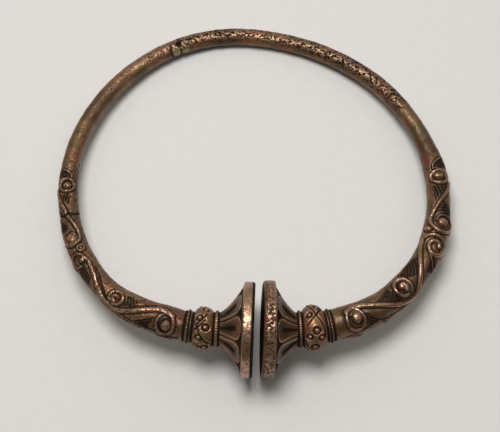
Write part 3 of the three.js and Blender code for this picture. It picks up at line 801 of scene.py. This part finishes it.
def build_torc(sizes):
    """The whole torc as one closed sweep, left face to right face."""
    hoop = Hoop(sizes)
    sweep = Sweep()
    left = [block(hoop, LEFT, sizes) for block in (terminal_block, scroll_block, back_block)]
    right = [block(hoop, RIGHT, sizes) for block in (terminal_block, scroll_block, back_block)]
    right[2] = tuple(a[:-1] for a in right[2])
    first = None
    for corners, marks in left + [tuple(a[::-1] for a in block) for block in right[::-1]]:
        index = sweep.add(corners, marks)
        first = index[0] if first is None else first
    ends = [(first, left[0], False), (sweep.last, right[0], True)]
    for ring, (corners, marks), reverse in ends:
        sweep.cap(ring, corners[0].mean(axis=0), marks[0].mean(axis=0), reverse)
    points = hoop.lie_down(np.concatenate(sweep.points), sizes) * MM
    quads, tris = np.concatenate(sweep.quads), np.concatenate(sweep.tris)
    corners = np.concatenate([quads.ravel(), tris.ravel()])
    sizes_of = np.concatenate([np.full(len(quads), 4), np.full(len(tris), 3)])
    mesh = bpy.data.meshes.new("torc_bronze")
    mesh.vertices.add(len(points))
    mesh.vertices.foreach_set("co", points.ravel())
    mesh.loops.add(len(corners))
    mesh.loops.foreach_set("vertex_index", corners.astype(np.int32))
    mesh.polygons.add(len(sizes_of))
    mesh.polygons.foreach_set("loop_start",
                              np.concatenate([[0], np.cumsum(sizes_of)[:-1]]).astype(np.int32))
    mesh.polygons.foreach_set("use_smooth", np.ones(len(sizes_of), bool))
    mesh.update(calc_edges=True)
    mesh.validate()
    marks = np.concatenate(sweep.marks)
    for i, name in enumerate(MARKS):
        layer = mesh.attributes.new(name, "FLOAT", "POINT")
        layer.data.foreach_set("value", np.clip(marks[:, i], 0, 1).astype(np.float32))
    piece = bpy.data.objects.new("torc_bronze", mesh)
    bpy.context.scene.collection.objects.link(piece)
    return piece


# ---------------------------------------------------------------- materials


def add(tree, kind, inputs=None, **settings):
    """Adds one node, sets its settings, and sets or links its inputs by name or number."""
    node = tree.nodes.new(kind)
    for name, value in settings.items():
        setattr(node, name, value)
    for key, value in (inputs or {}).items():
        if isinstance(value, bpy.types.NodeSocket):
            tree.links.new(value, node.inputs[key])
        else:
            node.inputs[key].default_value = value
    return node


def per_mm(size):
    """Texture scale, in cells per metre, for a pattern of a size in millimetres."""
    return 1000 / size


def ramp(tree, value, low, high):
    """0 at low and 1 at high, eased between."""
    return add(tree, "ShaderNodeMapRange", {0: value, 1: low, 2: high},
               interpolation_type="SMOOTHSTEP").outputs[0]


def mix(tree, share, a, b):
    """Colour a turning to b as the share goes from 0 to 1."""
    return add(tree, "ShaderNodeMix", {0: share, 6: a, 7: b}, data_type="RGBA").outputs[2]


def sums(tree, operation, *values):
    """One arithmetic step between values or sockets."""
    return add(tree, "ShaderNodeMath", dict(enumerate(values)), operation=operation).outputs[0]


def times(tree, a, b, *plus):
    """a times b, and plus a third where one is given."""
    return sums(tree, "MULTIPLY_ADD" if plus else "MULTIPLY", a, b, *plus)


def rgba(colour):
    """The colour with full opacity."""
    return (*colour, 1.0)


def patinated_bronze(colours):
    """Old cast tin bronze: brown oxide skin over coppery metal, sand-cast grain and corrosion pits.

    Gives the eye: dull brown with reddish and olive clouds on plain stretches, near black in every
    cut, and warm pinkish glints where ridges, bosses and rim corners are rubbed bare."""
    material = bpy.data.materials.new("patinated_cast_bronze")
    material.use_nodes = True
    tree = material.node_tree
    tree.nodes.clear()
    place = add(tree, "ShaderNodeTexCoord").outputs["Object"]
    hollow, rubbed, pitting, mend = (
        add(tree, "ShaderNodeAttribute", attribute_name=name).outputs["Fac"] for name in MARKS)

    def noise(size, detail, roughness):
        """Clouds of a size in mm."""
        return add(tree, "ShaderNodeTexNoise", {
            "Vector": place, "Scale": per_mm(size), "Detail": detail, "Roughness": roughness})

    clouds = noise(14, 4.0, 0.6).outputs["Fac"]
    redness = noise(6, 3.0, 0.55).outputs["Fac"]
    mottle = noise(2.4, 4.0, 0.65).outputs["Fac"]
    crust = noise(1.1, 3.0, 0.55).outputs["Fac"]
    grain = noise(0.5, 2.0, 0.5).outputs["Fac"]
    # single corrosion pits, most 0.4 to 0.9 mm across, their outlines ragged
    shifted = add(tree, "ShaderNodeVectorMath",
                  {0: noise(1.3, 2.0, 0.5).outputs["Color"], 1: (0.0011,) * 3, 2: place},
                  operation="MULTIPLY_ADD").outputs[0]
    cells = add(tree, "ShaderNodeTexVoronoi", {"Vector": shifted, "Scale": per_mm(1.15)})
    chosen = times(tree, mottle, 0.8,
                  add(tree, "ShaderNodeSeparateColor", {0: cells.outputs["Color"]}).outputs[0])
    wanted = times(tree, pitting, 0.75, 0.2)
    there = ramp(tree, sums(tree, "SUBTRACT", wanted, chosen), -0.02, 0.2)
    pit = times(tree, ramp(tree, cells.outputs["Distance"], 0.50, 0.15), there)
    # where corrosion is heavy the pits run together into crooked channels
    eaten = times(tree, ramp(tree, times(tree, clouds, 0.5, pitting), 0.6, 1.1),
                 ramp(tree, crust, 0.50, 0.38))
    pit = sums(tree, "MAXIMUM", pit, eaten)

    worn = times(tree, rubbed, ramp(tree, times(tree, grain, 0.5, mottle), 0.50, 0.90))
    worn = times(tree, worn, sums(tree, "SUBTRACT", 1.0, pit))
    # grime in the hollows and pits, plus the painted shade that the hollow mark carries on the disc faces
    # and along the rims' band
    dirt_and_shade = sums(tree, "MAXIMUM", ramp(tree, times(tree, mottle, 0.35, hollow), 0.30, 0.95), pit)
    skin = mix(tree, ramp(tree, clouds, 0.36, 0.66), rgba(colours.umber), rgba(colours.brown))
    skin = mix(tree, times(tree, ramp(tree, redness, 0.5, 0.68), 0.7), skin, rgba(colours.red))
    skin = mix(tree, times(tree, ramp(tree, redness, 0.48, 0.32), 0.7), skin, rgba(colours.olive))
    skin = mix(tree, times(tree, ramp(tree, mend, 0.3, 0.9), 0.85), skin, rgba(colours.solder))
    # copper where metal is rubbed bare; through the rubbed mark it is also the painted reflection of the
    # floor on the rims' lower part and the painted highlight along the back rod's top
    skin = mix(tree, times(tree, worn, 0.7), skin, rgba(colours.copper))
    skin = mix(tree, times(tree, dirt_and_shade, 0.93), skin, rgba(colours.dark))

    metal = times(tree, worn, 0.42, times(tree, dirt_and_shade, -0.4, 0.48))
    satin = times(tree, mottle, 0.32, 0.2)
    rough = times(tree, worn, -0.18, times(tree, dirt_and_shade, 0.3, satin))
    sheen = times(tree, dirt_and_shade, -0.42, 0.5)

    height = times(tree, crust, 0.5, times(tree, mottle, 0.6))
    height = times(tree, grain, 0.15, height)
    height = times(tree, pit, -0.9, height)
    strength = times(tree, pitting, 0.65, 0.4)
    bump = add(tree, "ShaderNodeBump", {
        "Height": height, "Distance": 0.0004, "Strength": strength}).outputs[0]
    shader = add(tree, "ShaderNodeBsdfPrincipled", {
        "Base Color": skin, "Metallic": metal, "Roughness": rough, "Specular IOR Level": sheen,
        "Normal": bump})
    add(tree, "ShaderNodeOutputMaterial", {"Surface": shader.outputs[0]})
    return material


def matt_paper(colour):
    """Thick pale backing paper: dead matt, with a faint felt-like tooth a few millimetres across."""
    material = bpy.data.materials.new("backing_paper")
    material.use_nodes = True
    tree = material.node_tree
    tree.nodes.clear()
    place = add(tree, "ShaderNodeTexCoord").outputs["Object"]
    tooth = add(tree, "ShaderNodeTexNoise",
                {"Vector": place, "Scale": per_mm(4), "Detail": 4.0}).outputs["Fac"]
    shade = mix(tree, tooth, rgba([c * 0.965 for c in colour]), rgba([min(1, c * 1.03) for c in colour]))
    bump = add(tree, "ShaderNodeBump", {"Height": tooth, "Distance": 0.00015, "Strength": 0.4}).outputs[0]
    shader = add(tree, "ShaderNodeBsdfPrincipled", {
        "Base Color": shade, "Roughness": 0.95, "Specular IOR Level": 0.2, "Normal": bump})
    add(tree, "ShaderNodeOutputMaterial", {"Surface": shader.outputs[0]})
    return material


# ---------------------------------------------------------------- operators


class TORC_OT_bronze(bpy.types.Operator):
    """Build the torc in place of its coarse solid and give it its bronze"""

    bl_idname = "torc.bronze"
    bl_label = "Build torc"

    def execute(self, context):
        scene = context.scene
        piece = build_torc(scene.torc_sizes)
        piece.data.materials.append(patinated_bronze(scene.torc_colours))
        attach(piece, "root")
        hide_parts("torc")
        return {"FINISHED"}


FLOOR_HALF = 1.2  # half the floor's side, m
SOFTBOX_ACROSS = 0.5  # m
SOFTBOX_PLACE = (-0.13, 0.17, 1.1)  # nearly overhead, a little to the left and behind, m
SOFTBOX_COLOUR = (0.985, 0.985, 1.0)
ROOM_LOW, ROOM_HIGH = (0.03, 0.03, 0.026, 1), (1.0, 0.985, 0.93, 1)  # low in front, and overhead
LOOK_AT = (-3.547, -12.786, 8.0)  # middle of the view, mm, from the hoop's own origin
SENSOR = 36  # width of the camera's sensor, mm


class TORC_OT_stage(bpy.types.Operator):
    """Lay the pale floor and set the lights and the camera"""

    bl_idname = "torc.stage"
    bl_label = "Build stage"

    def execute(self, context):
        scene, stage = context.scene, context.scene.torc_stage
        side = FLOOR_HALF
        mesh = bpy.data.meshes.new("table_top")
        corners = [(-side, -side, 0), (side, -side, 0), (side, side, 0), (-side, side, 0)]
        mesh.from_pydata(corners, [], [(0, 1, 2, 3)])
        floor = bpy.data.objects.new("table_top", mesh)
        scene.collection.objects.link(floor)
        mesh.materials.append(matt_paper(stage.floor_colour))

        light = bpy.data.lights.new("softbox_overhead", "AREA")
        light.shape, light.size = "DISK", SOFTBOX_ACROSS
        light.energy, light.color = stage.softbox, SOFTBOX_COLOUR
        lamp = bpy.data.objects.new("softbox_overhead", light)
        lamp.location = SOFTBOX_PLACE
        lamp.rotation_euler = (-lamp.location).to_track_quat("-Z", "Y").to_euler()
        scene.collection.objects.link(lamp)

        # a dim room, darkest low down in front and lightest overhead and behind
        world = bpy.data.worlds.new("dim_room")
        world.use_nodes = True
        tree = world.node_tree
        tree.nodes.clear()
        towards = add(tree, "ShaderNodeSeparateXYZ",
                      {0: add(tree, "ShaderNodeTexCoord").outputs["Object"]}).outputs
        lift = times(tree, towards["Y"], 0.55, towards["Z"])
        sky = mix(tree, ramp(tree, lift, 0.3, 1.1), ROOM_LOW, ROOM_HIGH)
        glow = add(tree, "ShaderNodeBackground", {0: sky, 1: stage.room})
        add(tree, "ShaderNodeOutputWorld", {0: glow.outputs[0]})
        scene.world = world
        scene.view_settings.view_transform = "Standard"
        scene.view_settings.look = "None"

        lens = bpy.data.cameras.new("camera")
        lens.lens, lens.sensor_width = stage.lens, SENSOR
        camera = bpy.data.objects.new("camera", lens)
        back = Vector((0, -math.cos(stage.elevation), math.sin(stage.elevation)))
        target = Vector((LOOK_AT[0] - HOOP_MIDDLE[0], LOOK_AT[1] - HOOP_MIDDLE[1], LOOK_AT[2])) * MM
        turn = (-back).to_track_quat("-Z", "Y").to_matrix() @ Matrix.Rotation(stage.roll, 3, "Z")
        camera.matrix_world = Matrix.Translation(target + back * stage.distance) @ turn.to_4x4()
        scene.collection.objects.link(camera)
        scene.camera = camera
        return {"FINISHED"}


class TORC_PT_panel(bpy.types.Panel):
    """The torc's sizes, colours and stage, and the two build buttons"""

    bl_label = "Torc"
    bl_idname = "TORC_PT_panel"
    bl_space_type = "VIEW_3D"
    bl_region_type = "UI"
    bl_category = "Torc"

    def draw(self, context):
        layout, scene = self.layout, context.scene
        for group in (scene.torc_sizes, scene.torc_colours, scene.torc_stage):
            box = layout.box()
            for name in group.__annotations__:
                box.prop(group, name)
        layout.operator(TORC_OT_bronze.bl_idname)
        layout.operator(TORC_OT_stage.bl_idname)


CLASSES = (TorcSizes, BronzeColours, StageSettings, TORC_OT_bronze, TORC_OT_stage, TORC_PT_panel)


def register():
    """Adds the settings, the buttons and their panel."""
    for cls in CLASSES:
        bpy.utils.register_class(cls)
    bpy.types.Scene.torc_sizes = bpy.props.PointerProperty(type=TorcSizes)
    bpy.types.Scene.torc_colours = bpy.props.PointerProperty(type=BronzeColours)
    bpy.types.Scene.torc_stage = bpy.props.PointerProperty(type=StageSettings)


def unregister():
    """Takes them away again."""
    del bpy.types.Scene.torc_sizes, bpy.types.Scene.torc_colours, bpy.types.Scene.torc_stage
    for cls in reversed(CLASSES):
        bpy.utils.unregister_class(cls)


def main():
    """Builds the torc and its stage."""
    register()
    bpy.ops.torc.bronze()
    bpy.ops.torc.stage()


if __name__ == "__main__":
    main()
